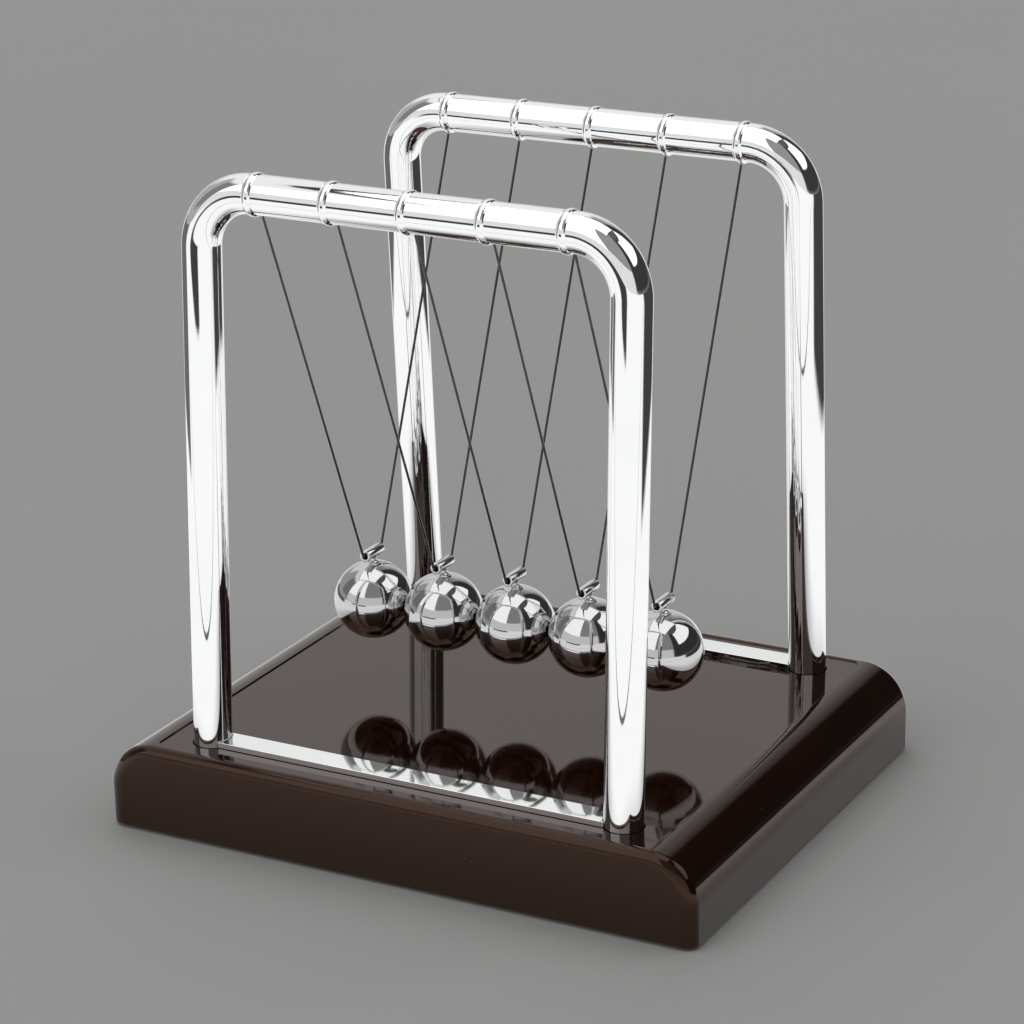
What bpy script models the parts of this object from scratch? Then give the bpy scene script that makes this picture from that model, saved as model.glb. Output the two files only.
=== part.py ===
"""Newton's cradle: moulded base, two bent tube hoops and five hanging steel balls.

Metres. +X runs along the two bars, -Y is the front, +Z is up. The origin is the centre of
the footprint, on the surface that the cradle stands on.
"""

import math

import bmesh
import bpy
from mathutils import Matrix, Vector

# ---- driving dimensions -------------------------------------------------------------
GAP = 0.0003

# Base
BASE_W = 0.1752
BASE_D = 0.1430
SHELL_BOTTOM = 0.0010
PANEL_Z = 0.0245
RIM_STEP = 0.0004
END_ROUND = 0.0134
EDGE_FILLET = 0.0027
EDGE_DEPTH = 0.0030
CORNER_R = 0.0045
SHELL_WALL = 0.0025
TOP_WALL = 0.0030
PANEL_INSET_X = 0.0136
PANEL_INSET_Y = 0.0034
PANEL_CORNER = 0.0025

# Hoops
TUBE_R = 0.00525
TUBE_WALL = 0.0010
LEG_X = 0.0617
FOOT_Y = 0.0583
BAR_Y = 0.0511
BAR_RISE = 0.1513
BEND_R = 0.0152
LEG_DEPTH = 0.0135
BEAD_RISE = 0.0005
BEAD_WIDTH = 0.0022
STRING_HOLE_R = 0.00065

# Rails
RAIL_DEPTH = 0.0074
RAIL_HEIGHT = 0.0014

# Pendulums
BALLS = 5
BALL_R = 0.01105
PITCH = 0.0224
BALL_RISE = 0.0236
BAIL_RISE = 0.0138
BAIL_R = 0.0014
BAIL_BORE = 0.0009
BAIL_LENGTH = 0.0084
NECK_R = 0.0011
STRING_R = 0.00035
STRING_BEND = 0.0010
STRING_LIFT = 0.0002
KNOT_R = 0.0011

# Fastenings under the base
BOSS_R = 0.0090
SOCKET_DEPTH = 0.0140
BOSS_FLOOR = 0.0035
PLUG_LENGTH = 0.0090
SCREW_R = 0.0015
SCREW_HEAD_R = 0.0030
SCREW_HEAD_H = 0.0020
POST_X = 0.0400
POST_Y = 0.0540
POST_R = 0.0040
PLATE_T = 0.0020
PLATE_BOTTOM = 0.0015
PLATE_SCREW_HEAD_H = 0.0008
PAD_X = 0.0740
PAD_Y = 0.0550
PAD_R = 0.0060

# ---- derived positions --------------------------------------------------------------
LEAN = math.atan2(FOOT_Y - BAR_Y, BAR_RISE)
LEG_LENGTH = math.hypot(FOOT_Y - BAR_Y, BAR_RISE)
RIM_Z = PANEL_Z + RIM_STEP
BAR_Z = PANEL_Z + BAR_RISE
BALL_Z = PANEL_Z + BALL_RISE
BAIL_Z = BALL_Z + BAIL_RISE
STRING_Z = BAIL_Z + STRING_LIFT
STRING_LEAN = math.atan2(BAR_Y - BAIL_LENGTH / 2 - STRING_BEND, BAR_Z - STRING_Z)
MOUTH_R = TUBE_R + BEAD_RISE
PIVOT_R = MOUTH_R + GAP
PIVOT_Y = BAR_Y - PIVOT_R * math.sin(STRING_LEAN)
PIVOT_Z = BAR_Z - PIVOT_R * math.cos(STRING_LEAN)
BALL_X = [(n - (BALLS - 1) / 2) * PITCH for n in range(BALLS)]

SIDES = {"front": -1, "rear": 1}
ENDS = {"left": -1, "right": 1}


# ---- helpers ------------------------------------------------------------------------
def clear_scene():
    for obj in list(bpy.data.objects):
        bpy.data.objects.remove(obj, do_unlink=True)


def material(name, color, metallic, roughness, coat=0.0):
    mat = bpy.data.materials.new(name)
    mat.use_nodes = True
    shader = mat.node_tree.nodes["Principled BSDF"]
    shader.inputs["Base Color"].default_value = (*color, 1.0)
    shader.inputs["Metallic"].default_value = metallic
    shader.inputs["Roughness"].default_value = roughness
    shader.inputs["Coat Weight"].default_value = coat
    return mat


def add_object(name, bm, mat=None):
    """Turns a bmesh into an object. Faces more than 35 degrees apart keep a sharp edge."""
    bmesh.ops.remove_doubles(bm, verts=bm.verts, dist=1e-7)
    bmesh.ops.recalc_face_normals(bm, faces=bm.faces)
    for face in bm.faces:
        face.smooth = True
    for edge in bm.edges:
        if len(edge.link_faces) == 2 and edge.calc_face_angle(0.0) > math.radians(35):
            edge.smooth = False
    mesh = bpy.data.meshes.new(name)
    bm.to_mesh(mesh)
    bm.free()
    if mat:
        mesh.materials.append(mat)
    obj = bpy.data.objects.new(name, mesh)
    bpy.context.scene.collection.objects.link(obj)
    return obj


def bridge(bm, first, second):
    """Quads between two closed rings of vertices."""
    count = len(first)
    for i in range(count):
        j = (i + 1) % count
        bm.faces.new((first[i], first[j], second[j], second[i]))


def add_lathe(bm, profile, sides, matrix=None):
    """A solid of revolution about Z. The profile runs from the axis round to the axis."""
    matrix = matrix or Matrix()
    rings = []
    for radius, z in profile:
        if radius == 0.0:
            rings.append([bm.verts.new(matrix @ Vector((0.0, 0.0, z)))])
            continue
        ring = []
        for k in range(sides):
            a = 2 * math.pi * k / sides
            point = Vector((radius * math.cos(a), radius * math.sin(a), z))
            ring.append(bm.verts.new(matrix @ point))
        rings.append(ring)
    for first, second in zip(rings, rings[1:]):
        if len(first) == 1:
            for k in range(sides):
                bm.faces.new((first[0], second[k], second[(k + 1) % sides]))
        elif len(second) == 1:
            for k in range(sides):
                bm.faces.new((first[(k + 1) % sides], first[k], second[0]))
        else:
            bridge(bm, first, second)


def lathe(name, profile, sides, mat):
    bm = bmesh.new()
    add_lathe(bm, profile, sides)
    return add_object(name, bm, mat)


def sweep_rings(bm, stations, sides, side_axis):
    """Circles round a path in one plane. Each station is (point, tangent, radius)."""
    rings = []
    for point, tangent, radius in stations:
        across = tangent.cross(side_axis).normalized()
        ring = []
        for k in range(sides):
            a = 2 * math.pi * k / sides
            offset = side_axis * math.cos(a) + across * math.sin(a)
            ring.append(bm.verts.new(point + offset * radius))
        rings.append(ring)
    for first, second in zip(rings, rings[1:]):
        bridge(bm, first, second)
    return rings


def rounded_rectangle(width, depth, radius, steps):
    points = []
    corners = ((1, 1, 0), (-1, 1, 90), (-1, -1, 180), (1, -1, 270))
    for sx, sy, start in corners:
        for k in range(steps + 1):
            a = math.radians(start + 90 * k / steps)
            x = sx * (width / 2 - radius) + radius * math.cos(a)
            y = sy * (depth / 2 - radius) + radius * math.sin(a)
            points.append((x, y))
    return points


def add_prism(bm, levels):
    """A solid through stacked outlines. Each level is (outline, z), from bottom to top."""
    rings = [[bm.verts.new((x, y, z)) for x, y in outline] for outline, z in levels]
    for first, second in zip(rings, rings[1:]):
        bridge(bm, first, second)
    bm.faces.new(rings[0])
    bm.faces.new(rings[-1])


def boolean(obj, cutter, operation):
    mod = obj.modifiers.new(operation.title() + "_" + cutter.name, "BOOLEAN")
    mod.operation = operation
    mod.solver = "EXACT"
    mod.object = cutter
    cutter.hide_render = True
    cutter.display_type = "WIRE"


def empty(name, location):
    obj = bpy.data.objects.new(name, None)
    obj.empty_display_size = 0.01
    obj.location = location
    bpy.context.scene.collection.objects.link(obj)
    return obj


def place(obj, parent, location=(0.0, 0.0, 0.0)):
    obj.parent = parent
    obj.location = location
    return obj


# ---- base ---------------------------------------------------------------------------
def end_profile(half_width, bottom, top, radius_x, radius_z, steps):
    """Outline in X and Z: square at the bottom, quarter rounds at the two top corners."""
    points = [(-half_width, bottom)]
    for sx, start in ((-1, math.pi), (1, math.pi / 2)):
        for k in range(steps + 1):
            a = start - math.pi / 2 * k / steps
            x = sx * (half_width - radius_x) + radius_x * math.cos(a)
            points.append((x, top - radius_z + radius_z * math.sin(a)))
    points.append((half_width, bottom))
    return points


def add_loft(bm, sections):
    """A solid through outlines in X and Z. Each section is (outline, y)."""
    rings = [[bm.verts.new((x, y, z)) for x, z in outline] for outline, y in sections]
    for first, second in zip(rings, rings[1:]):
        bridge(bm, first, second)
    bm.faces.new(rings[0])
    bm.faces.new(rings[-1])


def shell_sections(steps, fillet_steps):
    angles = [math.pi / 2 * k / fillet_steps for k in range(fillet_steps, -1, -1)]
    sections = []
    for sign in (-1, 1):
        part = []
        for angle in angles:
            inset_x = CORNER_R * (1 - math.cos(angle))
            inset_z = EDGE_FILLET * (1 - math.cos(angle))
            y = sign * (BASE_D / 2 - EDGE_DEPTH * (1 - math.sin(angle)))
            outline = end_profile(
                BASE_W / 2 - inset_x,
                SHELL_BOTTOM,
                RIM_Z - inset_z,
                END_ROUND - inset_x,
                END_ROUND - inset_z,
                steps,
            )
            part.append((outline, y))
        sections += part if sign < 0 else part[::-1]
    return sections


def hoop_matrix(side):
    """Local frame of a hoop: X along its bar, Z up its legs, which lean inwards."""
    sign = SIDES[side]
    foot = Matrix.Translation((0.0, sign * FOOT_Y, PANEL_Z))
    return foot @ Matrix.Rotation(sign * LEAN, 4, "X")


def leg_matrices():
    for side in SIDES:
        for end, sx in ENDS.items():
            yield side, end, hoop_matrix(side) @ Matrix.Translation((sx * LEG_X, 0, 0))


def post_points():
    return [(sx * POST_X, sy * POST_Y) for sx in (-1, 1) for sy in (-1, 1)]


def build_base_shell(mat):
    bm = bmesh.new()
    add_loft(bm, shell_sections(12, 5))
    shell = add_object("base_shell", bm, mat)

    bm = bmesh.new()
    inner_top = PANEL_Z - TOP_WALL
    inner_round = END_ROUND - SHELL_WALL
    inner_width = BASE_W / 2 - SHELL_WALL
    inner_low = SHELL_BOTTOM - 0.005
    outline = end_profile(inner_width, inner_low, inner_top, inner_round, inner_round, 6)
    reach = BASE_D / 2 - SHELL_WALL
    add_loft(bm, [(outline, -reach), (outline, reach)])
    boolean(shell, add_object("cut_cavity", bm), "DIFFERENCE")

    bm = bmesh.new()
    for sx in (-1, 1):
        for sy in (-1, 1):
            at = Matrix.Translation((sx * LEG_X, sy * FOOT_Y, 0.0))
            low = PANEL_Z - SOCKET_DEPTH - BOSS_FLOOR
            add_lathe(bm, [(0.0, low), (BOSS_R, low), (BOSS_R, 0.0235), (0.0, 0.0235)], 32, at)
    for x, y in post_points():
        low = PLATE_BOTTOM + PLATE_T + GAP
        at = Matrix.Translation((x, y, 0.0))
        add_lathe(bm, [(0.0, low), (POST_R, low), (POST_R, 0.0235), (0.0, 0.0235)], 20, at)
    boolean(shell, add_object("add_bosses", bm), "UNION")

    bm = bmesh.new()
    floor = rounded_rectangle(
        BASE_W - 2 * PANEL_INSET_X - 2 * RIM_STEP,
        BASE_D - 2 * PANEL_INSET_Y - 2 * RIM_STEP,
        PANEL_CORNER,
        5,
    )
    mouth = rounded_rectangle(
        BASE_W - 2 * PANEL_INSET_X + 2 * RIM_STEP,
        BASE_D - 2 * PANEL_INSET_Y + 2 * RIM_STEP,
        PANEL_CORNER + 2 * RIM_STEP,
        5,
    )
    add_prism(bm, [(floor, PANEL_Z), (mouth, PANEL_Z + 2 * RIM_STEP)])
    boolean(shell, add_object("cut_panel", bm), "DIFFERENCE")

    bm = bmesh.new()
    for _, _, at in leg_matrices():
        r = TUBE_R + GAP
        add_lathe(bm, [(0.0, -SOCKET_DEPTH), (r, -SOCKET_DEPTH), (r, 0.01), (0.0, 0.01)], 32, at)
    boolean(shell, add_object("cut_sockets", bm), "DIFFERENCE")

    bm = bmesh.new()
    for _, _, at in leg_matrices():
        r = SCREW_R + GAP
        low, high = -SOCKET_DEPTH - 0.006, -SOCKET_DEPTH + 0.002
        add_lathe(bm, [(0.0, low), (r, low), (r, high), (0.0, high)], 16, at)
    for x, y in post_points():
        at = Matrix.Translation((x, y, 0.0))
        add_lathe(bm, [(0.0, 0.001), (0.0014, 0.001), (0.0014, 0.013), (0.0, 0.013)], 16, at)
    boolean(shell, add_object("cut_screw_holes", bm), "DIFFERENCE")
    return shell


def build_base_plate(mat):
    bm = bmesh.new()
    outline = rounded_rectangle(
        BASE_W - 2 * (SHELL_WALL + GAP), BASE_D - 2 * (SHELL_WALL + GAP), 0.0012, 3
    )
    add_prism(bm, [(outline, PLATE_BOTTOM), (outline, PLATE_BOTTOM + PLATE_T)])
    plate = add_object("base_plate", bm, mat)

    bm = bmesh.new()
    for x, y in post_points():
        at = Matrix.Translation((x, y, 0.0))
        add_lathe(bm, [(0.0, 0.0), (0.0016, 0.0), (0.0016, 0.006), (0.0, 0.006)], 16, at)
    boolean(plate, add_object("cut_plate_holes", bm), "DIFFERENCE")
    return plate


def build_pads(mat):
    for side, sy in SIDES.items():
        for end, sx in ENDS.items():
            top = PLATE_BOTTOM - GAP
            profile = [
                (0.0, 0.0),
                (PAD_R - 0.0004, 0.0),
                (PAD_R, 0.0004),
                (PAD_R, top),
                (0.0, top),
            ]
            pad = lathe(f"foot_pad_{side}_{end}", profile, 28, mat)
            pad.location = (sx * PAD_X, sy * PAD_Y, 0.0)


def build_plate_screws(mat):
    """Thin pan heads, which stay above the foot of the pads."""
    for side, sy in SIDES.items():
        for end, sx in ENDS.items():
            top = PLATE_BOTTOM - GAP
            low = top - PLATE_SCREW_HEAD_H
            profile = [
                (0.0, low + 0.0003),
                (0.0006, low + 0.0003),
                (0.0007, low),
                (0.0022, low),
                (0.0026, low + 0.0003),
                (0.0026, top),
                (0.0011, top),
                (0.0011, 0.0100),
                (0.0004, 0.0115),
                (0.0, 0.0115),
            ]
            screw = lathe(f"plate_screw_{side}_{end}", profile, 16, mat)
            screw.location = (sx * POST_X, sy * POST_Y, 0.0)


# ---- hoops --------------------------------------------------------------------------
def hoop_path(with_beads):
    """Stations from the left leg's lower end, over the bar, to the right leg's."""
    straight = LEG_X - BEND_R
    top = LEG_LENGTH
    up = Vector((0.0, 0.0, 1.0))
    along = Vector((1.0, 0.0, 0.0))
    stations = [
        (Vector((-LEG_X, 0.0, -LEG_DEPTH)), up, TUBE_R),
        (Vector((-LEG_X, 0.0, 0.06)), up, TUBE_R),
    ]
    steps = 12 if with_beads else 8
    for k in range(steps + 1):
        a = math.pi / 2 * k / steps
        x = -straight - BEND_R * math.cos(a)
        z = top - BEND_R + BEND_R * math.sin(a)
        tangent = Vector((math.sin(a), 0.0, math.cos(a)))
        stations.append((Vector((x, 0.0, z)), tangent, TUBE_R))
    if with_beads:
        half = BEAD_WIDTH / 2
        shape = ((-1.0, 0.0), (-0.6, 0.9), (0.0, 1.0), (0.6, 0.9), (1.0, 0.0))
        for x in BALL_X:
            for step, rise in shape:
                point = Vector((x + step * half, 0.0, top))
                stations.append((point, along, TUBE_R + rise * BEAD_RISE))
    for k in range(steps + 1):
        a = math.pi / 2 * (1 - k / steps)
        x = straight + BEND_R * math.cos(a)
        z = top - BEND_R + BEND_R * math.sin(a)
        tangent = Vector((math.sin(a), 0.0, -math.cos(a)))
        stations.append((Vector((x, 0.0, z)), tangent, TUBE_R))
    stations.append((Vector((LEG_X, 0.0, 0.06)), -up, TUBE_R))
    stations.append((Vector((LEG_X, 0.0, -LEG_DEPTH)), -up, TUBE_R))
    return stations


def build_hoop(side, mat):
    sides = 24
    depth = Vector((0.0, 1.0, 0.0))
    bm = bmesh.new()
    outer = sweep_rings(bm, hoop_path(True), sides, depth)
    inner_path = [(p, t, TUBE_R - TUBE_WALL) for p, t, _ in hoop_path(False)]
    inner = sweep_rings(bm, inner_path, sides, depth)
    bridge(bm, outer[0], inner[0])
    bridge(bm, outer[-1], inner[-1])
    hoop = add_object(f"{side}_hoop", bm, mat)
    hoop.matrix_world = hoop_matrix(side)

    bm = bmesh.new()
    r = STRING_HOLE_R
    for x in BALL_X:
        at = string_hole_matrix(side, x)
        add_lathe(bm, [(0.0, -0.009), (r, -0.009), (r, -0.003), (0.0, -0.003)], 14, at)
    boolean(hoop, add_object(f"cut_string_holes_{side}", bm), "DIFFERENCE")
    return hoop


def string_hole_matrix(side, x):
    """Centred on the bar's axis, with -Z pointing out through the hole at the ball."""
    at = Matrix.Translation((x, SIDES[side] * BAR_Y, BAR_Z))
    return at @ Matrix.Rotation(-SIDES[side] * STRING_LEAN, 4, "X")


def build_leg_plugs_and_screws(plug_mat, screw_mat):
    for side, end, at in leg_matrices():
        low = -LEG_DEPTH
        bore = SCREW_R + GAP
        r = TUBE_R - TUBE_WALL - GAP
        profile = [
            (0.0, low + PLUG_LENGTH - 0.0015),
            (bore, low + PLUG_LENGTH - 0.0015),
            (bore, low),
            (r, low),
            (r, low + PLUG_LENGTH),
            (0.0, low + PLUG_LENGTH),
        ]
        plug = lathe(f"leg_plug_{side}_{end}", profile, 24, plug_mat)
        plug.matrix_world = at

        under = -SOCKET_DEPTH - BOSS_FLOOR - 0.0008
        tip = low + PLUG_LENGTH - 0.0024
        profile = [
            (0.0, under - SCREW_HEAD_H + 0.0009),
            (0.0010, under - SCREW_HEAD_H + 0.0009),
            (0.0012, under - SCREW_HEAD_H),
            (SCREW_HEAD_R - 0.0006, under - SCREW_HEAD_H),
            (SCREW_HEAD_R, under - SCREW_HEAD_H + 0.0008),
            (SCREW_HEAD_R, under),
            (SCREW_R, under),
            (SCREW_R, tip - 0.0008),
            (0.0007, tip),
            (0.0, tip),
        ]
        screw = lathe(f"leg_screw_{side}_{end}", profile, 16, screw_mat)
        screw.matrix_world = at


def build_rail(side, mat):
    """A flat strip along the base between the feet of one hoop."""
    sy = SIDES[side]
    low = PANEL_Z + GAP
    edge = 0.0003
    length = 2 * LEG_X
    corners = ((-1, -1), (1, -1), (1, 1), (-1, 1))
    wide = [(cx * length / 2, cy * RAIL_DEPTH / 2) for cx, cy in corners]
    narrow = [(x, y - math.copysign(edge, y)) for x, y in wide]
    bm = bmesh.new()
    add_prism(bm, [(wide, low), (wide, low + RAIL_HEIGHT - edge), (narrow, low + RAIL_HEIGHT)])
    rail = add_object(f"{side}_rail", bm, mat)
    rail.location = (0.0, sy * FOOT_Y, 0.0)

    bm = bmesh.new()
    for s, _, at in leg_matrices():
        if s == side:
            r = TUBE_R + GAP
            add_lathe(bm, [(0.0, -0.01), (r, -0.01), (r, 0.01), (0.0, 0.01)], 32, at)
    boolean(rail, add_object(f"cut_{side}_rail_ends", bm), "DIFFERENCE")
    return rail


# ---- pendulums ----------------------------------------------------------------------
def ball_profile(radius, steps):
    points = [(0.0, -radius)]
    for k in range(1, steps):
        a = -math.pi / 2 + math.pi * k / steps
        points.append((radius * math.cos(a), radius * math.sin(a)))
    points.append((0.0, radius))
    return points


def build_ball(name, mat, parent, drop):
    ball = lathe(name, ball_profile(BALL_R, 18), 36, mat)
    return place(ball, parent, (0.0, 0.0, drop))


def build_bail(name, mat, parent, drop):
    """A short open tube across the top of the ball, on a flared neck."""
    bm = bmesh.new()
    along = Matrix.Rotation(math.pi / 2, 4, "X")
    half = BAIL_LENGTH / 2
    edge = 0.0001
    profile = [
        (BAIL_BORE, -half),
        (BAIL_R - edge, -half),
        (BAIL_R, -half + edge),
        (BAIL_R, half - edge),
        (BAIL_R - edge, half),
        (BAIL_BORE, half),
        (BAIL_BORE, -half),
    ]
    add_lathe(bm, profile, 24, along)
    bail = add_object(name, bm, mat)

    bm = bmesh.new()
    foot = BALL_R + GAP - BAIL_RISE
    profile = [
        (0.0, foot - 0.0002),
        (0.0019, foot - 0.0002),
        (0.0019, foot + 0.0001),
        (NECK_R, foot + 0.0006),
        (NECK_R, -0.0010),
        (0.0, -0.0010),
    ]
    add_lathe(bm, profile, 20)
    neck = add_object(f"add_{name}_neck", bm)
    neck.parent = bail
    boolean(bail, neck, "UNION")

    bm = bmesh.new()
    at = Matrix.Translation((0.0, 0.0, -BAIL_RISE))
    add_lathe(bm, ball_profile(BALL_R + GAP, 24), 24, at)
    under = add_object(f"cut_{name}_foot", bm)
    under.parent = bail
    boolean(bail, under, "DIFFERENCE")
    return place(bail, parent, (0.0, 0.0, drop))


def string_points():
    """Centreline in Y and Z about the pivot axis, with its tangents, front to rear."""
    drop = STRING_Z - PIVOT_Z
    half = []
    reach = BAIL_LENGTH / 2
    turn = math.pi / 2 - STRING_LEAN
    steps = 6
    for k in range(steps + 1):
        a = turn * (1 - k / steps)
        y = -reach - STRING_BEND * math.sin(a)
        z = drop + STRING_BEND * (1 - math.cos(a))
        half.append((Vector((0.0, y, z)), Vector((0.0, math.cos(a), -math.sin(a)))))
    top = Vector((0.0, -PIVOT_Y, 0.0))
    start = (top, (half[0][0] - top).normalized())
    first = [start] + half
    second = []
    for point, tangent in reversed(first):
        mirrored = Vector((0.0, -point.y, point.z))
        second.append((mirrored, Vector((0.0, tangent.y, -tangent.z))))
    return first + second


def build_string(name, mat, parent):
    bm = bmesh.new()
    stations = [(p, t, STRING_R) for p, t in string_points()]
    rings = sweep_rings(bm, stations, 8, Vector((1.0, 0.0, 0.0)))
    bm.faces.new(rings[0])
    bm.faces.new(rings[-1])
    string = add_object(name, bm, mat)
    return place(string, parent)


def build_knot(name, side, x, mat):
    """The stopper knot inside the bar, with the end that fills the hole below it."""
    bm = bmesh.new()
    profile = [(0.0, -MOUTH_R), (STRING_R, -MOUTH_R), (STRING_R, -0.0028 - KNOT_R * 0.9)]
    for k in range(2, 6):
        a = -math.pi / 2 + math.pi * k / 6
        profile.append((KNOT_R * math.cos(a), -0.0028 + KNOT_R * math.sin(a)))
    profile.append((0.0, -0.0028 + KNOT_R))
    add_lathe(bm, profile, 8)
    knot = add_object(name, bm, mat)
    knot.matrix_world = string_hole_matrix(side, x)


def build_pendulums(steel, bail_mat, nylon):
    for n, x in enumerate(BALL_X, start=1):
        pivot = empty(f"pivot_{n}", (x, 0.0, PIVOT_Z))
        build_string(f"string_{n}", nylon, pivot)
        build_bail(f"bail_{n}", bail_mat, pivot, BAIL_Z - PIVOT_Z)
        build_ball(f"ball_{n}", steel, pivot, BALL_Z - PIVOT_Z)
        for side in SIDES:
            build_knot(f"knot_{side}_{n}", side, x, nylon)


def main():
    clear_scene()
    base_mat = material("base_gloss_plastic", (0.030, 0.016, 0.012), 0.0, 0.08, coat=1.0)
    plate_mat = material("plate_plastic", (0.020, 0.018, 0.017), 0.0, 0.55)
    pad_mat = material("pad_rubber", (0.025, 0.025, 0.025), 0.0, 0.8)
    screw_mat = material("screw_steel", (0.55, 0.55, 0.56), 1.0, 0.3)
    plug_mat = material("plug_plastic", (0.60, 0.59, 0.55), 0.0, 0.5)
    chrome = material("hoop_chrome", (0.86, 0.87, 0.88), 1.0, 0.04)
    rail_mat = material("rail_chrome", (0.86, 0.87, 0.88), 1.0, 0.05)
    steel = material("ball_steel", (0.78, 0.78, 0.79), 1.0, 0.05)
    bail_mat = material("bail_steel", (0.70, 0.70, 0.71), 1.0, 0.18)
    nylon = material("string_nylon", (0.35, 0.35, 0.34), 0.0, 0.2)

    build_base_shell(base_mat)
    build_base_plate(plate_mat)
    build_pads(pad_mat)
    build_plate_screws(screw_mat)
    for side in SIDES:
        build_hoop(side, chrome)
        build_rail(side, rail_mat)
    build_leg_plugs_and_screws(plug_mat, screw_mat)
    build_pendulums(steel, bail_mat, nylon)


main()
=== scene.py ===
"""Newton's cradle: finished pieces, materials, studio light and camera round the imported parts.

Metres, in the frame of the parts: +X along the bars, -Y the front, +Z up.
"""

import math

import bmesh
import bpy
from mathutils import Matrix, Vector


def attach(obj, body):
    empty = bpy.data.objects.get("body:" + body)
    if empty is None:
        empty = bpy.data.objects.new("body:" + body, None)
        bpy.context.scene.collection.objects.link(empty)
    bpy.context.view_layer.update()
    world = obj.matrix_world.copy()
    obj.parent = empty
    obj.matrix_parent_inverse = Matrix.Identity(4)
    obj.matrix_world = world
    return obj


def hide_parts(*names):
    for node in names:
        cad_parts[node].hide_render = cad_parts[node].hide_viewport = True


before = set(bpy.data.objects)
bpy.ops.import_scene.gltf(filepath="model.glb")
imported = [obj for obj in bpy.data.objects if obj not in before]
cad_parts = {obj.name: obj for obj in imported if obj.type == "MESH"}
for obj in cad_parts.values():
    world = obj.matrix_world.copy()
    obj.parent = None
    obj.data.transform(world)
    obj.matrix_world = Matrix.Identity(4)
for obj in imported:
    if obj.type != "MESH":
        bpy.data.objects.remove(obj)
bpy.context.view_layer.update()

# ---- dimensions of the parts --------------------------------------------------------
GAP = 0.0003
BASE_W = 0.1752
BASE_D = 0.1430
SHELL_BOTTOM = 0.0010
PANEL_Z = 0.0245
RIM_STEP = 0.0004
END_ROUND = 0.0134
EDGE_FILLET = 0.0027
EDGE_DEPTH = 0.0030
CORNER_R = 0.0045
SHELL_WALL = 0.0025
TOP_WALL = 0.0030
PANEL_INSET_X = 0.0136
PANEL_INSET_Y = 0.0034
PANEL_CORNER = 0.0025
SOCKET_DEPTH = 0.0140
BASE_ROUND = 0.00016
# How far a cutting shape reaches past what it cuts.
CAVITY_PAST = 0.005
CUT_PAST = 0.01

TUBE_R = 0.00525
TUBE_WALL = 0.0010
LEG_X = 0.0617
FOOT_Y = 0.0583
BAR_Y = 0.0511
BAR_RISE = 0.1513
BEND_R = 0.0152
LEG_DEPTH = 0.0135
BEAD_RISE = 0.0005
BEAD_WIDTH = 0.0022
BEAD_GROOVE = 0.00030
BEAD_GROOVE_DEPTH = 0.00010
STRING_HOLE_R = 0.00065
# Where the cutter of a string hole starts and ends along the string, from the bar's middle.
STRING_HOLE_SPAN = (-0.009, -0.003)
# Extra rings that keep the shading even: outside a groove, up a leg, and below a bend.
BEAD_RINGS = (0.0002, 0.0001, 0.0)
LEG_RINGS = (0.02, 0.06, 0.10)
BEND_RINGS = (0.003, 0.0005)

RAIL_DEPTH = 0.0074
RAIL_HEIGHT = 0.0014
RAIL_FLOAT = GAP * 0.3
RAIL_END_GAP = GAP * 0.5
RAIL_ROUND = 0.00028

BALLS = 5
BALL_R = 0.01105
PITCH = 0.0224
BALL_RISE = 0.0236
BAIL_RISE = 0.0138
BAIL_R = 0.0014
BAIL_BORE = 0.0009
BAIL_LENGTH = 0.0084
BAIL_SWELL = 0.0002
BAIL_LIP = 0.00018
NECK_R = 0.0011
NECK_FLARE = 0.0009
NECK_FLARE_RISE = 0.0010
NECK_FOOT_R = 0.0021
NECK_SINK = 0.0006
NECK_TOP = -0.0010
STRING_R = 0.00035
STRING_BEND = 0.0010
STRING_LIFT = 0.0002

LEAN = math.atan2(FOOT_Y - BAR_Y, BAR_RISE)
LEG_LENGTH = math.hypot(FOOT_Y - BAR_Y, BAR_RISE)
RIM_Z = PANEL_Z + RIM_STEP
BAR_Z = PANEL_Z + BAR_RISE
BALL_Z = PANEL_Z + BALL_RISE
BAIL_Z = BALL_Z + BAIL_RISE
STRING_Z = BAIL_Z + STRING_LIFT
STRING_LEAN = math.atan2(BAR_Y - BAIL_LENGTH / 2 - STRING_BEND, BAR_Z - STRING_Z)
PIVOT_R = TUBE_R + BEAD_RISE + GAP
PIVOT_Y = BAR_Y - PIVOT_R * math.sin(STRING_LEAN)
PIVOT_Z = BAR_Z - PIVOT_R * math.cos(STRING_LEAN)
BALL_X = [(n - (BALLS - 1) / 2) * PITCH for n in range(BALLS)]
SIDES = {"front": -1, "rear": 1}

UP = Vector((0.0, 0.0, 1.0))
ALONG = Vector((1.0, 0.0, 0.0))
DEPTH = Vector((0.0, 1.0, 0.0))


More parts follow.
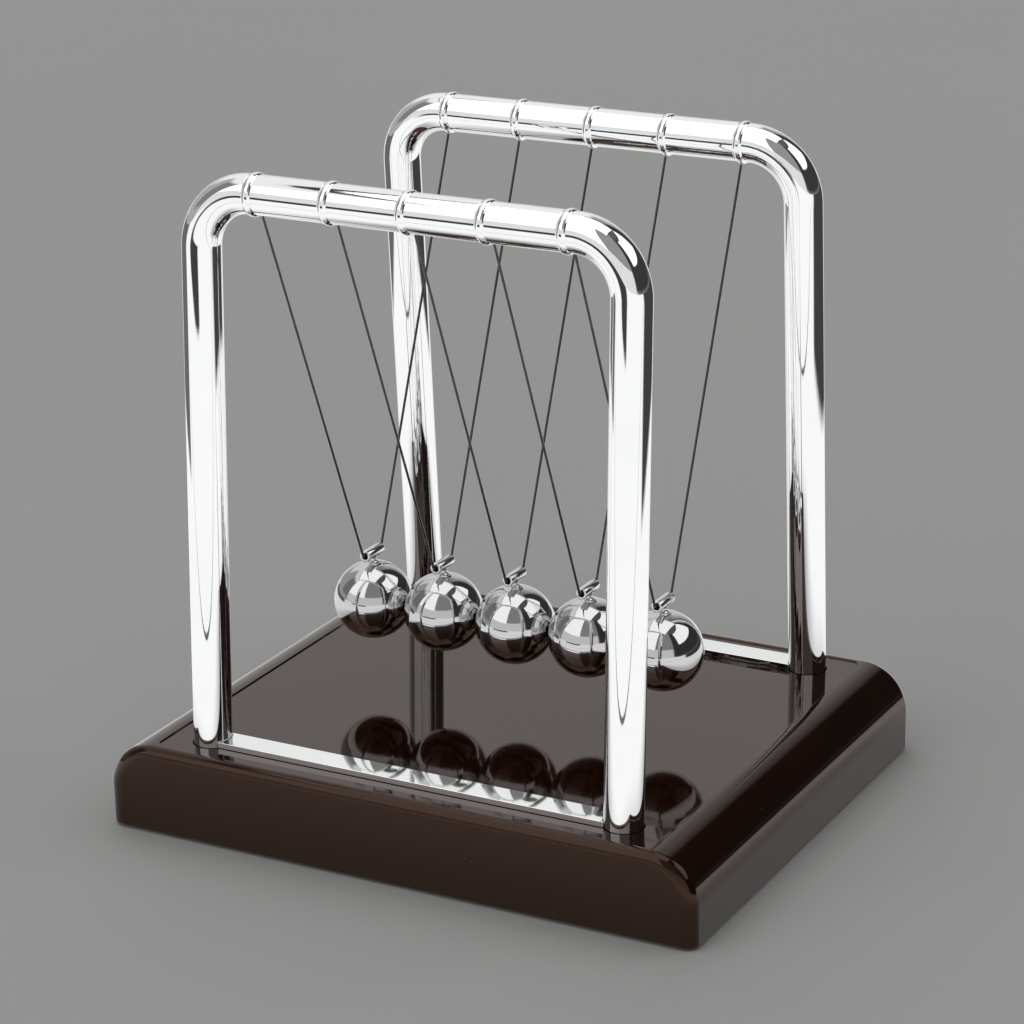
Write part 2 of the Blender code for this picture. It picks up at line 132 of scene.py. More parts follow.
# ---- shader helpers -----------------------------------------------------------------
class Nodes:
    """Short forms for building one node tree."""

    def __init__(self, tree):
        self.tree = tree

    def add(self, kind, **settings):
        node = self.tree.nodes.new(kind)
        for key, value in settings.items():
            setattr(node, key, value)
        return node

    def feed(self, socket, value):
        if isinstance(value, bpy.types.NodeSocket):
            self.tree.links.new(value, socket)
        else:
            socket.default_value = value

    def math(self, operation, *values):
        node = self.add("ShaderNodeMath", operation=operation)
        for socket, value in zip(node.inputs, values):
            self.feed(socket, value)
        return node.outputs[0]

    def noise(self, vector, scale, detail=3.0, rough=0.5, distortion=0.0):
        node = self.add("ShaderNodeTexNoise")
        self.feed(node.inputs["Vector"], vector)
        node.inputs["Scale"].default_value = scale
        node.inputs["Detail"].default_value = detail
        node.inputs["Roughness"].default_value = rough
        node.inputs["Distortion"].default_value = distortion
        return node.outputs["Fac"]

    def voronoi(self, vector, scale):
        node = self.add("ShaderNodeTexVoronoi")
        self.feed(node.inputs["Vector"], vector)
        node.inputs["Scale"].default_value = scale
        return node.outputs["Distance"]

    def remap(self, value, low, high, to_low=0.0, to_high=1.0, smooth=False):
        node = self.add("ShaderNodeMapRange")
        node.interpolation_type = "SMOOTHSTEP" if smooth else "LINEAR"
        self.feed(node.inputs["Value"], value)
        for name, number in (
            ("From Min", low),
            ("From Max", high),
            ("To Min", to_low),
            ("To Max", to_high),
        ):
            node.inputs[name].default_value = number
        return node.outputs["Result"]

    def window(self, value, low, high, soft):
        """1 between low and high and 0 outside, with soft ends."""
        rise = self.remap(value, low - soft, low + soft, smooth=True)
        fall = self.remap(value, high - soft, high + soft, 1.0, 0.0, smooth=True)
        return self.math("MULTIPLY", rise, fall)

    def stretch(self, vector, scale):
        node = self.add("ShaderNodeMapping")
        self.feed(node.inputs["Vector"], vector)
        node.inputs["Scale"].default_value = scale
        return node.outputs["Vector"]

    def mix(self, factor, first, second):
        node = self.add("ShaderNodeMix", data_type="RGBA")
        self.feed(node.inputs[0], factor)
        self.feed(node.inputs[6], first)
        self.feed(node.inputs[7], second)
        return node.outputs[2]

    def blend(self, factor, first, second):
        node = self.add("ShaderNodeMix", data_type="FLOAT")
        self.feed(node.inputs[0], factor)
        self.feed(node.inputs[2], first)
        self.feed(node.inputs[3], second)
        return node.outputs[0]

    def bump(self, height, distance, normal=None):
        node = self.add("ShaderNodeBump")
        node.inputs["Strength"].default_value = 1.0
        node.inputs["Distance"].default_value = distance
        self.feed(node.inputs["Height"], height)
        if normal is not None:
            self.feed(node.inputs["Normal"], normal)
        return node.outputs["Normal"]


def start(name):
    """A new Principled material, with its node helper, shader inputs and coordinates."""
    mat = bpy.data.materials.new(name)
    mat.use_nodes = True
    nodes = Nodes(mat.node_tree)
    shader = mat.node_tree.nodes["Principled BSDF"]
    where = nodes.add("ShaderNodeTexCoord").outputs["Object"]
    return mat, nodes, shader.inputs, where


def rgb(red, green, blue):
    return (red, green, blue, 1.0)


def chrome(name, color, rough_low, rough_high, wave):
    """Bright metal: slight waves, a fine grain, a few pits and faint smears."""
    mat, n, out, where = start(name)
    smears = n.noise(where, 55.0, 4.0, 0.6, 0.4)
    grain = n.noise(where, 2600.0, 2.0, 0.6)
    specks = n.remap(n.voronoi(where, 900.0), 0.03, 0.07, 1.0, 0.0)
    sparse = n.remap(n.noise(where, 160.0, 1.0), 0.62, 0.66)
    pits = n.math("MULTIPLY", specks, sparse)
    base = n.remap(smears, 0.35, 0.75, rough_low, rough_high)
    rough = n.math("ADD", base, n.remap(grain, 0.55, 0.8, 0.0, 0.05))
    rough = n.math("ADD", rough, n.math("MULTIPLY", pits, 0.3))
    tint = n.mix(n.remap(smears, 0.3, 0.8), color, [c * 0.96 for c in color[:3]] + [1.0])
    waves = n.bump(n.noise(where, 70.0, 2.0), wave)
    marks = n.bump(n.math("ADD", grain, n.math("MULTIPLY", pits, -4.0)), 4e-7, waves)
    n.feed(out["Base Color"], tint)
    n.feed(out["Roughness"], rough)
    n.feed(out["Normal"], marks)
    out["Metallic"].default_value = 1.0
    return mat


def gloss_plastic(name):
    """Dark brown moulded plastic with a high gloss, faint ripple, hairlines and dust."""
    mat, n, out, where = start(name)
    cloud = n.noise(where, 22.0, 4.0, 0.55)
    grain = n.noise(where, 900.0, 2.0, 0.5)
    dust_spots = n.remap(n.voronoi(where, 520.0), 0.035, 0.065, 1.0, 0.0)
    dust_where = n.remap(n.noise(where, 75.0, 2.0), 0.52, 0.64)
    dust = n.math("MULTIPLY", dust_spots, dust_where)
    body = n.mix(
        n.remap(cloud, 0.3, 0.7),
        rgb(0.0072, 0.0021, 0.0011),
        rgb(0.0098, 0.0029, 0.0015),
    )
    color = n.mix(n.math("MULTIPLY", dust, 0.5), body, rgb(0.35, 0.32, 0.29))
    hairs = n.noise(n.stretch(where, (1.0, 9.0, 1.0)), 420.0, 2.0, 0.6)
    rough = n.math("ADD", n.remap(cloud, 0.3, 0.75, 0.035, 0.06), n.math("MULTIPLY", dust, 0.4))
    rough = n.math("ADD", rough, n.remap(hairs, 0.62, 0.8, 0.0, 0.05))
    ripple = n.bump(n.noise(where, 60.0, 2.0), 3e-6)
    fine = n.bump(n.math("ADD", grain, n.math("MULTIPLY", dust, 8.0)), 2.5e-7, ripple)
    n.feed(out["Base Color"], color)
    n.feed(out["Roughness"], rough)
    n.feed(out["Normal"], fine)
    out["IOR"].default_value = 1.50
    out["Specular Tint"].default_value = rgb(1.0, 0.64, 0.50)
    return mat


def nylon(name):
    """Clear smoke-grey line, slightly frosted by handling."""
    mat, n, out, where = start(name)
    haze = n.noise(where, 1400.0, 3.0, 0.6)
    color = n.mix(n.remap(haze, 0.35, 0.7), rgb(0.026, 0.026, 0.025), rgb(0.12, 0.12, 0.115))
    n.feed(out["Base Color"], color)
    n.feed(out["Roughness"], n.remap(haze, 0.3, 0.7, 0.08, 0.20))
    n.feed(out["Normal"], n.bump(haze, 6e-6))
    out["Transmission Weight"].default_value = 0.5
    out["IOR"].default_value = 1.53
    return mat


def matt(name, first, second, rough, bump, scale):
    """Moulded plastic or rubber: colour and roughness vary with one fine grain."""
    mat, n, out, where = start(name)
    grain = n.noise(where, scale, 5.0, 0.6)
    cloud = n.noise(where, scale * 0.04, 3.0)
    n.feed(out["Base Color"], n.mix(cloud, first, second))
    n.feed(out["Roughness"], n.remap(grain, 0.3, 0.7, rough - 0.08, rough + 0.08))
    n.feed(out["Normal"], n.bump(grain, bump))
    return mat


# ---- mesh helpers -------------------------------------------------------------------
def finish_mesh(name, bm, sharp=40.0):
    bmesh.ops.remove_doubles(bm, verts=bm.verts, dist=1e-8)
    bmesh.ops.recalc_face_normals(bm, faces=bm.faces)
    for face in bm.faces:
        face.smooth = True
    for edge in bm.edges:
        if len(edge.link_faces) == 2 and edge.calc_face_angle(0.0) > math.radians(sharp):
            edge.smooth = False
    mesh = bpy.data.meshes.new(name)
    bm.to_mesh(mesh)
    bm.free()
    obj = bpy.data.objects.new(name, mesh)
    bpy.context.scene.collection.objects.link(obj)
    return obj


def bridge(bm, first, second):
    count = len(first)
    for i in range(count):
        j = (i + 1) % count
        bm.faces.new((first[i], first[j], second[j], second[i]))


def add_lathe(bm, profile, sides, matrix=None):
    """A solid of revolution about Z, from the axis round to the axis, or a closed ring."""
    matrix = matrix or Matrix()
    rings = []
    for radius, z in profile:
        if radius == 0.0:
            rings.append([bm.verts.new(matrix @ Vector((0.0, 0.0, z)))])
            continue
        ring = []
        for k in range(sides):
            a = 2 * math.pi * k / sides
            ring.append(bm.verts.new(matrix @ Vector((radius * math.cos(a), radius * math.sin(a), z))))
        rings.append(ring)
    for first, second in zip(rings, rings[1:]):
        if len(first) == 1:
            for k in range(sides):
                bm.faces.new((first[0], second[k], second[(k + 1) % sides]))
        elif len(second) == 1:
            for k in range(sides):
                bm.faces.new((first[(k + 1) % sides], first[k], second[0]))
        else:
            bridge(bm, first, second)


def sweep(bm, stations, sides, side_axis):
    """Circles round a path in one plane. Each station is (point, tangent, radius)."""
    rings = []
    for point, tangent, radius in stations:
        across = tangent.cross(side_axis).normalized()
        ring = []
        for k in range(sides):
            a = 2 * math.pi * k / sides
            offset = side_axis * math.cos(a) + across * math.sin(a)
            ring.append(bm.verts.new(point + offset * radius))
        rings.append(ring)
    for first, second in zip(rings, rings[1:]):
        bridge(bm, first, second)
    return rings


def combine(obj, others, operation):
    """Joins or cuts with other meshes, then throws those away."""
    for other in others:
        mod = obj.modifiers.new(operation, "BOOLEAN")
        mod.operation = operation
        mod.solver = "EXACT"
        mod.object = other
    bake(obj)
    for other in others:
        bpy.data.objects.remove(other, do_unlink=True)


def bake(obj):
    """Replaces the mesh with what its modifiers make of it."""
    graph = bpy.context.evaluated_depsgraph_get()
    mesh = bpy.data.meshes.new_from_object(obj.evaluated_get(graph))
    obj.modifiers.clear()
    obj.data = mesh


def soften(obj, width, segments=3, angle=32.0):
    """A small round on every sharp edge, with normals that keep broad faces flat."""
    bevel = obj.modifiers.new("round", "BEVEL")
    bevel.width = width
    bevel.segments = segments
    bevel.limit_method = "ANGLE"
    bevel.angle_limit = math.radians(angle)
    bevel.use_clamp_overlap = True
    weighted = obj.modifiers.new("normals", "WEIGHTED_NORMAL")
    weighted.keep_sharp = False
    weighted.weight = 100
    bake(obj)


def dress(obj, mat, body, slot, *nodes):
    """Gives a piece its material and its body, and hides the nodes that it stands for; its slot is not
    used.
    """
    obj.data.materials.clear()
    obj.data.materials.append(mat)
    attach(obj, body)
    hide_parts(*nodes)


# ---- base ---------------------------------------------------------------------------
def end_profile(half_width, bottom, top, radius_x, radius_z, steps):
    points = [(-half_width, bottom)]
    for sx, begin in ((-1, math.pi), (1, math.pi / 2)):
        for k in range(steps + 1):
            a = begin - math.pi / 2 * k / steps
            x = sx * (half_width - radius_x) + radius_x * math.cos(a)
            points.append((x, top - radius_z + radius_z * math.sin(a)))
    points.append((half_width, bottom))
    return points


def close_rings(bm, rings):
    for first, second in zip(rings, rings[1:]):
        bridge(bm, first, second)
    bm.faces.new(rings[0])
    bm.faces.new(rings[-1])


def add_loft(bm, sections):
    """A solid through outlines in X and Z, each at its own Y."""
    close_rings(bm, [[bm.verts.new((x, y, z)) for x, z in outline] for outline, y in sections])


def rounded_rectangle(width, depth, radius, steps):
    points = []
    for sx, sy, begin in ((1, 1, 0), (-1, 1, 90), (-1, -1, 180), (1, -1, 270)):
        for k in range(steps + 1):
            a = math.radians(begin + 90 * k / steps)
            x = sx * (width / 2 - radius) + radius * math.cos(a)
            y = sy * (depth / 2 - radius) + radius * math.sin(a)
            points.append((x, y))
    return points


def add_prism(bm, levels):
    """A solid through outlines in X and Y, each at its own Z."""
    close_rings(bm, [[bm.verts.new((x, y, z)) for x, y in outline] for outline, z in levels])


def hoop_matrix(side):
    """Local frame of a hoop: X along its bar, Z up its legs, which lean inwards."""
    sign = SIDES[side]
    foot = Matrix.Translation((0.0, sign * FOOT_Y, PANEL_Z))
    return foot @ Matrix.Rotation(sign * LEAN, 4, "X")


def build_base(mat):
    steps, fillet_steps = 32, 10
    parts = {-1: [], 1: []}
    for sign in (-1, 1):
        for k in range(fillet_steps, -1, -1):
            a = math.pi / 2 * k / fillet_steps
            inset_x = CORNER_R * (1 - math.cos(a))
            inset_z = EDGE_FILLET * (1 - math.cos(a))
            y = sign * (BASE_D / 2 - EDGE_DEPTH * (1 - math.sin(a)))
            outline = end_profile(
                BASE_W / 2 - inset_x,
                SHELL_BOTTOM,
                RIM_Z - inset_z,
                END_ROUND - inset_x,
                END_ROUND - inset_z,
                steps,
            )
            parts[sign].append((outline, y))
    bm = bmesh.new()
    add_loft(bm, parts[-1] + parts[1][::-1])
    base = finish_mesh("base_body", bm)

    bm = bmesh.new()
    width, low = BASE_W / 2 - SHELL_WALL, SHELL_BOTTOM - CAVITY_PAST
    inner = END_ROUND - SHELL_WALL
    outline = end_profile(width, low, PANEL_Z - TOP_WALL, inner, inner, 12)
    reach = BASE_D / 2 - SHELL_WALL
    add_loft(bm, [(outline, -reach), (outline, reach)])
    cavity = finish_mesh("cavity", bm)

    bm = bmesh.new()
    levels = []
    for grow, z in ((-RIM_STEP, PANEL_Z), (RIM_STEP, PANEL_Z + 2 * RIM_STEP)):
        outline = rounded_rectangle(
            BASE_W - 2 * PANEL_INSET_X + 2 * grow,
            BASE_D - 2 * PANEL_INSET_Y + 2 * grow,
            PANEL_CORNER + grow + RIM_STEP,
            12,
        )
        levels.append((outline, z))
    add_prism(bm, levels)
    panel = finish_mesh("panel", bm)

    bm = bmesh.new()
    for side in SIDES:
        for sx in (-1, 1):
            at = hoop_matrix(side) @ Matrix.Translation((sx * LEG_X, 0.0, 0.0))
            r = TUBE_R + GAP
            low, high = -SOCKET_DEPTH, CUT_PAST
            add_lathe(bm, [(0.0, low), (r, low), (r, high), (0.0, high)], 64, at)
    sockets = finish_mesh("sockets", bm)
    combine(base, [cavity, panel, sockets], "DIFFERENCE")
    soften(base, BASE_ROUND)
    dress(base, mat, "stand", "base_gloss_plastic", "base_shell")


# ---- hoops and rails ----------------------------------------------------------------
def bead_stations():
    """Radius along one raised band: a shallow groove at each side of a round crown."""
    half = BEAD_WIDTH / 2
    side = [(-half - BEAD_GROOVE - beyond, 0.0) for beyond in BEAD_RINGS]
    for k in range(1, 6):
        t = k / 6
        x = -half - BEAD_GROOVE + BEAD_GROOVE * t
        side.append((x, -BEAD_GROOVE_DEPTH * math.sin(math.pi * t)))
    crown = []
    for k in range(17):
        t = k / 16
        crown.append((-half + 2 * half * t, BEAD_RISE * math.sin(math.pi * t) ** 0.55))
    return side + crown + [(-x, rise) for x, rise in reversed(side)]


def hoop_path(steps, with_beads):
    """Stations of a sweep up the left leg, along the bar and down the right leg."""
    straight = LEG_X - BEND_R
    top = LEG_LENGTH
    stations = [(Vector((-LEG_X, 0.0, -LEG_DEPTH)), UP, TUBE_R)]
    leg_heights = [*LEG_RINGS, *(top - BEND_R - below for below in BEND_RINGS)]
    for z in leg_heights:
        stations.append((Vector((-LEG_X, 0.0, z)), UP, TUBE_R))
    for k in range(steps + 1):
        a = math.pi / 2 * k / steps
        x = -straight - BEND_R * math.cos(a)
        z = top - BEND_R + BEND_R * math.sin(a)
        stations.append((Vector((x, 0.0, z)), Vector((math.sin(a), 0.0, math.cos(a))), TUBE_R))
    if with_beads:
        for x in BALL_X:
            for step, rise in bead_stations():
                stations.append((Vector((x + step, 0.0, top)), ALONG, TUBE_R + rise))
    for k in range(steps + 1):
        a = math.pi / 2 * (1 - k / steps)
        x = straight + BEND_R * math.cos(a)
        z = top - BEND_R + BEND_R * math.sin(a)
        stations.append((Vector((x, 0.0, z)), Vector((math.sin(a), 0.0, -math.cos(a))), TUBE_R))
    for z in (*reversed(leg_heights), -LEG_DEPTH):
        stations.append((Vector((LEG_X, 0.0, z)), -UP, TUBE_R))
    return stations


def string_hole_matrix(side, x):
    at = Matrix.Translation((x, SIDES[side] * BAR_Y, BAR_Z))
    return at @ Matrix.Rotation(-SIDES[side] * STRING_LEAN, 4, "X")


def build_hoop(side, mat):
    bm = bmesh.new()
    outer = sweep(bm, hoop_path(40, True), 96, DEPTH)
    inner = sweep(bm, [(p, t, TUBE_R - TUBE_WALL) for p, t, _ in hoop_path(16, False)], 96, DEPTH)
    bridge(bm, outer[0], inner[0])
    bridge(bm, outer[-1], inner[-1])
    hoop = finish_mesh(f"chrome_hoop_{side}", bm)
    hoop.data.transform(hoop_matrix(side))

    bm = bmesh.new()
    for x in BALL_X:
        r = STRING_HOLE_R
        low, high = STRING_HOLE_SPAN
        at = string_hole_matrix(side, x)
        add_lathe(bm, [(0.0, low), (r, low), (r, high), (0.0, high)], 24, at)
    combine(hoop, [finish_mesh("holes", bm)], "DIFFERENCE")
    dress(hoop, mat, "stand", "hoop_chrome", f"{side}_hoop")


def build_rail(side, mat):
    sy = SIDES[side]
    low = PANEL_Z + RAIL_FLOAT
    high = PANEL_Z + GAP + RAIL_HEIGHT
    corners = ((-1, -1), (1, -1), (1, 1), (-1, 1))
    outline = [(cx * LEG_X, sy * FOOT_Y + cy * RAIL_DEPTH / 2) for cx, cy in corners]
    bm = bmesh.new()
    add_prism(bm, [(outline, low), (outline, high)])
    rail = finish_mesh(f"chrome_rail_{side}", bm)
    bm = bmesh.new()
    for sx in (-1, 1):
        at = hoop_matrix(side) @ Matrix.Translation((sx * LEG_X, 0.0, 0.0))
        r = TUBE_R + RAIL_END_GAP
        add_lathe(bm, [(0.0, -CUT_PAST), (r, -CUT_PAST), (r, CUT_PAST), (0.0, CUT_PAST)], 64, at)
    combine(rail, [finish_mesh("ends", bm)], "DIFFERENCE")
    soften(rail, RAIL_ROUND, 4)
    dress(rail, mat, "stand", "rail_chrome", f"{side}_rail")


# ---- pendulums ----------------------------------------------------------------------
def sphere_profile(radius, steps):
    points = [(0.0, -radius)]
    for k in range(1, steps):
        a = -math.pi / 2 + math.pi * k / steps
        points.append((radius * math.cos(a), radius * math.sin(a)))
    return points + [(0.0, radius)]


def build_ball(n, x, mat):
    bm = bmesh.new()
    add_lathe(bm, sphere_profile(BALL_R, 64), 128, Matrix.Translation((x, 0.0, BALL_Z)))
    ball = finish_mesh(f"steel_ball_{n}", bm)
    dress(ball, mat, f"pendulum_{n}", "ball_steel", f"ball_{n}")


def build_bail(n, x, mat):
    """An open tube across the ball on a short neck that flares into the ball."""
    centre = Matrix.Translation((x, 0.0, BAIL_Z))
    half, lip = BAIL_LENGTH / 2, BAIL_LIP
    outer = BAIL_R + BAIL_SWELL
    middle = (outer + BAIL_BORE) / 2
    profile = [(BAIL_BORE, -half + lip)]
    for k in range(1, 6):
        a = math.pi * k / 6
        profile.append((middle - (outer - middle) * math.cos(a), -half + lip * (1 - math.sin(a))))
    profile += [(outer, -half + lip), (outer, half - lip)]
    for k in range(5, 0, -1):
        a = math.pi * k / 6
        profile.append((middle - (outer - middle) * math.cos(a), half - lip * (1 - math.sin(a))))
    profile += [(BAIL_BORE, half - lip), (BAIL_BORE, -half + lip)]
    bm = bmesh.new()
    add_lathe(bm, profile, 48, centre @ Matrix.Rotation(math.pi / 2, 4, "X"))
    bail = finish_mesh(f"steel_bail_{n}", bm)

    bm = bmesh.new()
    foot = BALL_R - BAIL_RISE
    profile = [(0.0, foot - NECK_SINK), (NECK_FOOT_R, foot - NECK_SINK)]
    for k in range(9):
        a = math.pi / 2 * k / 8
        radius = NECK_R + NECK_FLARE * (1 - math.sin(a))
        profile.append((radius, foot + NECK_FLARE_RISE * (1 - math.cos(a))))
    profile += [(NECK_R, NECK_TOP), (0.0, NECK_TOP)]
    add_lathe(bm, profile, 40, centre)
    combine(bail, [finish_mesh("neck", bm)], "UNION")
    dress(bail, mat, f"pendulum_{n}", "bail_steel", f"bail_{n}")


def string_line():
    """Points in Y and Z from the front hole through the bail to the rear hole."""
    reach = BAIL_LENGTH / 2
    turn = math.pi / 2 - STRING_LEAN
    steps = 8
    half = [(-PIVOT_Y, PIVOT_Z)]
    first_y = -reach - STRING_BEND * math.sin(turn)
    first_z = STRING_Z + STRING_BEND * (1 - math.cos(turn))
    for k in range(1, 20):
        t = k / 20
        half.append((-PIVOT_Y + (first_y + PIVOT_Y) * t, PIVOT_Z + (first_z - PIVOT_Z) * t))
    for k in range(steps + 1):
        a = turn * (1 - k / steps)
        y = -reach - STRING_BEND * math.sin(a)
        half.append((y, STRING_Z + STRING_BEND * (1 - math.cos(a))))
    return half + [(-y, z) for y, z in reversed(half)]


def build_string(n, x, mat):
    points = [Vector((x, y, z)) for y, z in string_line()]
    data = bpy.data.curves.new(f"nylon_string_{n}", "CURVE")
    data.dimensions = "3D"
    spline = data.splines.new("POLY")
    spline.points.add(len(points) - 1)
    for at, point in zip(spline.points, points):
        at.co = (*point, 1.0)
    spline.use_smooth = True
    data.bevel_depth = STRING_R
    data.bevel_resolution = 4
    data.use_fill_caps = True
    string = bpy.data.objects.new(f"nylon_string_{n}", data)
    bpy.context.scene.collection.objects.link(string)
    dress(string, mat, f"pendulum_{n}", "string_nylon", f"string_{n}")


# ---- studio -------------------------------------------------------------------------
SOFTBOX = 1.7
FLOOR_Z = 0.0
FLOOR_HALF = 6.0
GLOW_LIFT = 0.0001

# What reflections see of the floor. It has a painted shadow, darker towards the base: half sizes of the
# darkest zone, how far the painted shadow reaches, and how dark it gets.
SHADE_HALF_X = 0.087
SHADE_HALF_Y = 0.068
SHADE_REACH = 0.09
SHADE_DARKEST = 0.42
# The painted shadow line in front, along the edge of a sheet, runs at this slope. The left zone starts at
# this bearing, in degrees. FAR is past the floor's own edge.
SHEET_SLOPE = 0.17
LEFT_FROM = 154.0
FAR = 9.0
BEHIND_LIGHT = 0.78
# Brightness of the painted shadow line along the sheet's edge.
SHEET_EDGE_SHADOW_LIGHT = 0.12
TABLE_END_LIGHT = 0.05
RIGHT_LIGHT = 0.05
LEFT_LIGHT = 0.14

# What reflections see around. Each patch is a brightness, its windows of azimuth and
# elevation in degrees, and how soft its edges are. Later ones lie over earlier ones.
WALLS = 0.30
PATCHES = (
    (0.50, (85.0, 215.0), (-95.0, 48.0), 9.0),
    (0.92, (96.0, 144.0), (0.0, 36.0), 8.0),
    (1.10, (120.0, 222.0), (46.0, 80.0), 4.0),
    (1.10, (108.0, 158.0), (22.0, 56.0), 4.0),
    (0.26, (184.0, 214.0), (8.0, 44.0), 3.0),
    (0.95, (-146.0, -26.0), (-95.0, 21.8), 0.8),
    (0.05, (-34.0, 86.0), (0.0, 74.0), 4.0),
    (0.13, (-34.0, 100.0), (62.0, 76.0), 3.0),
    (0.36, (-88.0, -33.0), (23.0, 72.0), 0.8),
    (SOFTBOX, (-12.0, 62.0), (29.0, 60.0), 0.7),
    (SOFTBOX, (-145.0, -89.0), (20.0, 80.0), 0.7),
)
# The softbox overhead, in X and Y at unit height, with a dark frame round it. It shows only
# where a direction rises by more than OVERHEAD_FROM.
OVERHEAD_X = (-0.585, 0.28)
OVERHEAD_Y = (-0.36, 0.50)
OVERHEAD_EDGE = 0.004
OVERHEAD_FRAME = 0.022
FRAME_LIGHT = 0.06
OVERHEAD_FROM = 0.3
LEAST_RISE = 0.02


def floor_plane(name, height, mat):
    bm = bmesh.new()
    bmesh.ops.create_grid(bm, x_segments=1, y_segments=1, size=FLOOR_HALF)
    plane = finish_mesh(name, bm)
    plane.location = (0.0, 0.0, height)
    plane.data.materials.append(mat)
    return plane


def pale_floor():
    mat, n, out, where = start("pale_floor")
    cloud = n.noise(where, 3.0, 3.0)
    n.feed(out["Base Color"], n.mix(cloud, rgb(0.360, 0.361, 0.356), rgb(0.374, 0.375, 0.370)))
    out["Roughness"].default_value = 0.9
    out["Specular IOR Level"].default_value = 0.1
    return mat


def floor_glow():
    """Brightness of the floor in reflections, by place, with a painted shadow round the base and a painted
    shadow line in front.
    """
    mat = bpy.data.materials.new("floor_glow")
    mat.use_nodes = True
    mat.node_tree.nodes.clear()
    n = Nodes(mat.node_tree)
    where = n.add("ShaderNodeTexCoord").outputs["Object"]
    parts = n.add("ShaderNodeSeparateXYZ")
    n.feed(parts.inputs[0], where)
    x, y = parts.outputs[0], parts.outputs[1]

    def beyond(value, half):
        return n.math("MAXIMUM", n.math("SUBTRACT", n.math("ABSOLUTE", value), half), 0.0)

    def distance(along, across):
        squares = n.math("ADD", n.math("POWER", along, 2.0), n.math("POWER", across, 2.0))
        return n.math("SQRT", squares)

    def both(first, second):
        return n.math("MULTIPLY", first, second)

    # Painted shadow of the base on the floor: darkest close round the base, fading out over SHADE_REACH.
    away = distance(beyond(x, SHADE_HALF_X), beyond(y, SHADE_HALF_Y))
    strength = n.remap(away, 0.0, SHADE_REACH, SHADE_DARKEST, 1.0, smooth=True)
    bearing = n.math("DEGREES", n.math("ARCTAN2", y, x))
    reach = distance(x, y)
    slanted = n.math("SUBTRACT", y, n.math("MULTIPLY", x, SHEET_SLOPE))
    # Painted shadow line along the edge of a sheet in front.
    sheet_edge_shadow = n.window(slanted, -0.2470, -0.2395, 0.0010)
    table_end = both(n.window(y, -4.0, -0.75, 0.02), n.window(bearing, -127.0, -85.0, 3.0))
    right = both(n.window(reach, 0.385, FAR, 0.025), n.window(bearing, -1.0, 85.0, 5.0))
    left = n.math("GREATER_THAN", n.math("ABSOLUTE", bearing), LEFT_FROM)
    left = both(n.window(reach, 0.44, FAR, 0.02), left)
    behind = both(n.window(reach, 0.16, FAR, 0.03), n.window(bearing, 100.0, 150.0, 6.0))
    for mask, value in (
        (behind, BEHIND_LIGHT),
        (sheet_edge_shadow, SHEET_EDGE_SHADOW_LIGHT),
        (table_end, TABLE_END_LIGHT),
        (right, RIGHT_LIGHT),
        (left, LEFT_LIGHT),
    ):
        strength = n.blend(mask, strength, value)
    light = n.add("ShaderNodeEmission")
    n.feed(light.inputs["Strength"], strength)
    end = n.add("ShaderNodeOutputMaterial")
    mat.node_tree.links.new(light.outputs[0], end.inputs["Surface"])
    mat.cycles.emission_sampling = "NONE"
    return mat


def build_floor():
    """A pale floor for the view, and a twin that only reflections see."""
    floor = floor_plane("floor", FLOOR_Z, pale_floor())
    floor.visible_glossy = False
    glow = floor_plane("floor_glow", FLOOR_Z + GLOW_LIFT, floor_glow())
    glow.visible_camera = False
    glow.visible_diffuse = False
    glow.visible_shadow = False
    glow.visible_transmission = False


def build_world():
    """Surroundings by direction: walls, a pale table in front, three softboxes, darker gaps."""
    world = bpy.data.worlds.new("studio")
    bpy.context.scene.world = world
    world.use_nodes = True
    world.node_tree.nodes.clear()
    n = Nodes(world.node_tree)
    where = n.add("ShaderNodeTexCoord").outputs["Generated"]
    parts = n.add("ShaderNodeSeparateXYZ")
    n.feed(parts.inputs[0], where)
    x, y, z = parts.outputs
    azimuth = n.math("DEGREES", n.math("ARCTAN2", y, x))
    level = n.math("DEGREES", n.math("ARCSINE", z))
    height = n.math("MAXIMUM", z, LEAST_RISE)
    across = n.math("DIVIDE", x, height)
    deep = n.math("DIVIDE", y, height)

    def patch(base, value, az, el, soft):
        """Lays one brightness over a window of azimuth and elevation, in degrees."""
        turned = azimuth
        if az[1] > 180.0:
            turned = n.math("ADD", azimuth, n.math("MULTIPLY", n.math("LESS_THAN", azimuth, 0.0), 360.0))
        mask = n.math("MULTIPLY", n.window(turned, *az, soft), n.window(level, *el, soft))
        return n.blend(mask, base, value)

    light = WALLS
    for value, az, el, soft in PATCHES:
        light = patch(light, value, az, el, soft)
    overhead = n.math("GREATER_THAN", z, OVERHEAD_FROM)
    for grow, value in ((OVERHEAD_FRAME, FRAME_LIGHT), (0.0, SOFTBOX)):
        wide = n.window(across, OVERHEAD_X[0] - grow, OVERHEAD_X[1] + grow, OVERHEAD_EDGE)
        far = n.window(deep, OVERHEAD_Y[0] - grow, OVERHEAD_Y[1] + grow, OVERHEAD_EDGE)
        light = n.blend(n.math("MULTIPLY", n.math("MULTIPLY", wide, far), overhead), light, value)

    seen = n.add("ShaderNodeBackground")
    seen.inputs["Color"].default_value = rgb(0.285, 0.285, 0.280)
    studio = n.add("ShaderNodeBackground")
    n.feed(studio.inputs["Strength"], light)
    path = n.add("ShaderNodeLightPath")
    both = n.add("ShaderNodeMixShader")
    n.feed(both.inputs[0], path.outputs["Is Camera Ray"])
    world.node_tree.links.new(studio.outputs[0], both.inputs[1])
    world.node_tree.links.new(seen.outputs[0], both.inputs[2])
    end = n.add("ShaderNodeOutputWorld")
    world.node_tree.links.new(both.outputs[0], end.inputs["Surface"])


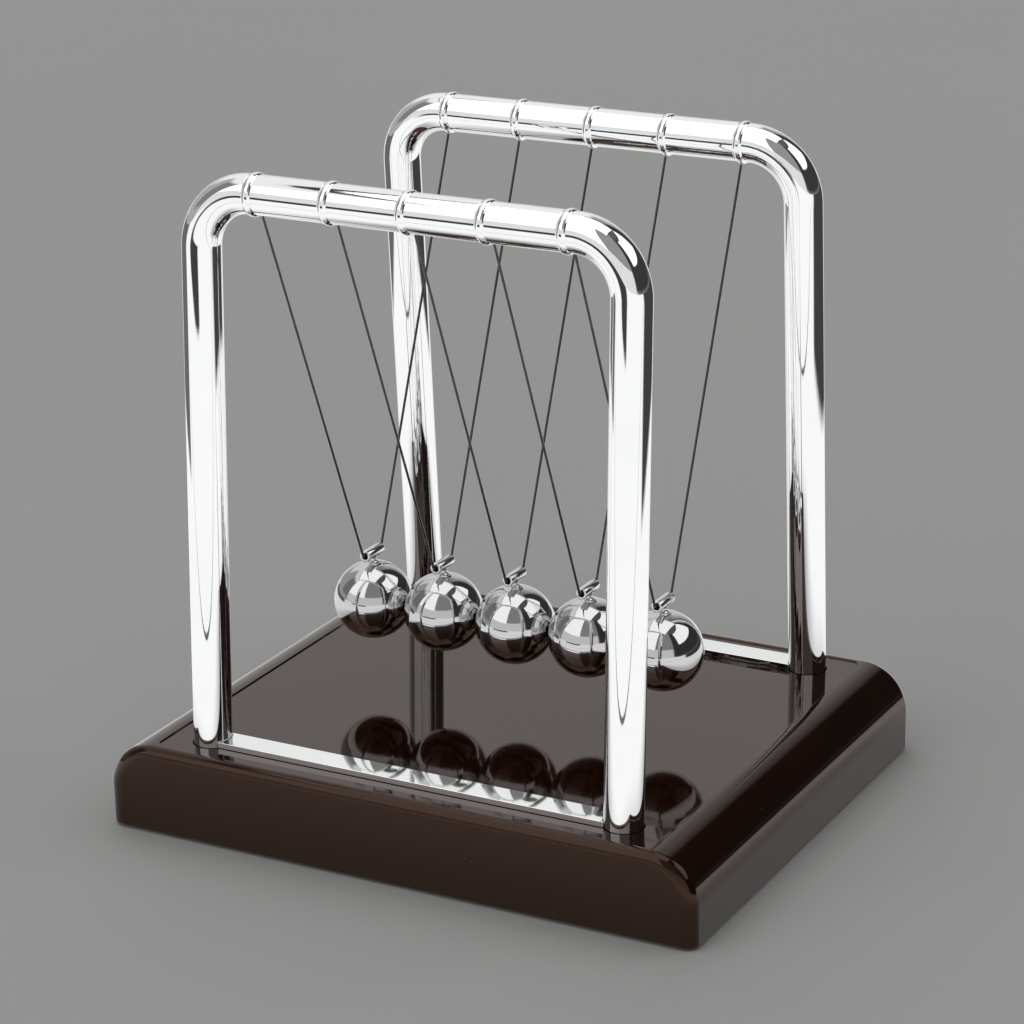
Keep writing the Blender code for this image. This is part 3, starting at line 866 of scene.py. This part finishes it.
def build_camera():
    azimuth, elevation, roll = (math.radians(a) for a in (-28.48, 19.56, -1.09))
    distance, focal = 0.9024, 117.40
    target = Vector((-0.0004, 0.0, 0.0805))
    look = Vector(
        (
            math.sin(azimuth) * math.cos(elevation),
            math.cos(azimuth) * math.cos(elevation),
            -math.sin(elevation),
        )
    )
    right = Vector((math.cos(azimuth), -math.sin(azimuth), 0.0))
    above = right.cross(look)
    x_axis = math.cos(roll) * right + math.sin(roll) * above
    y_axis = -math.sin(roll) * right + math.cos(roll) * above
    matrix = Matrix((x_axis, y_axis, -look)).transposed().to_4x4()
    matrix.translation = target - look * distance
    data = bpy.data.cameras.new("camera")
    data.lens = focal
    data.sensor_width = 36.0
    data.clip_start = 0.01
    data.clip_end = 50.0
    camera = bpy.data.objects.new("camera", data)
    camera.matrix_world = matrix
    bpy.context.scene.collection.objects.link(camera)
    bpy.context.scene.camera = camera


# ---- everything ---------------------------------------------------------------------
def main():
    plastic = gloss_plastic("brown_gloss_plastic")
    tube = chrome("tube_chrome", rgb(0.95, 0.955, 0.96), 0.012, 0.04, 1.2e-5)
    strip = chrome("strip_chrome", rgb(0.95, 0.955, 0.96), 0.02, 0.06, 6e-6)
    ball_steel = chrome("ball_steel_polished", rgb(0.62, 0.62, 0.62), 0.035, 0.09, 3e-6)
    bail_steel = chrome("bail_steel_drawn", rgb(0.70, 0.70, 0.71), 0.10, 0.22, 3e-6)
    line = nylon("nylon_line")

    build_base(plastic)
    for side in SIDES:
        build_hoop(side, tube)
        build_rail(side, strip)
    for n, x in enumerate(BALL_X, start=1):
        build_ball(n, x, ball_steel)
        build_bail(n, x, bail_steel)
        build_string(n, x, line)

    plate = matt("plate_moulded", rgb(0.020, 0.018, 0.017), rgb(0.030, 0.027, 0.025), 0.55, 6e-6, 1500.0)
    rubber = matt("pad_rubber_matt", rgb(0.022, 0.022, 0.022), rgb(0.035, 0.034, 0.033), 0.85, 9e-6, 2200.0)
    plug = matt("plug_moulded", rgb(0.55, 0.54, 0.50), rgb(0.62, 0.61, 0.57), 0.50, 5e-6, 1800.0)
    zinc = chrome("screw_zinc", rgb(0.58, 0.58, 0.60), 0.22, 0.40, 3e-6)
    by_name = (
        ("base_plate", plate),
        ("foot_pad", rubber),
        ("leg_plug", plug),
        ("plate_screw", zinc),
        ("leg_screw", zinc),
        ("knot", line),
    )
    for name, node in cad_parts.items():
        for start_of_name, mat in by_name:
            if name.startswith(start_of_name):
                node.data.materials.clear()
                node.data.materials.append(mat)

    build_floor()
    build_world()
    build_camera()
    bpy.context.scene.view_settings.view_transform = "Standard"


main()
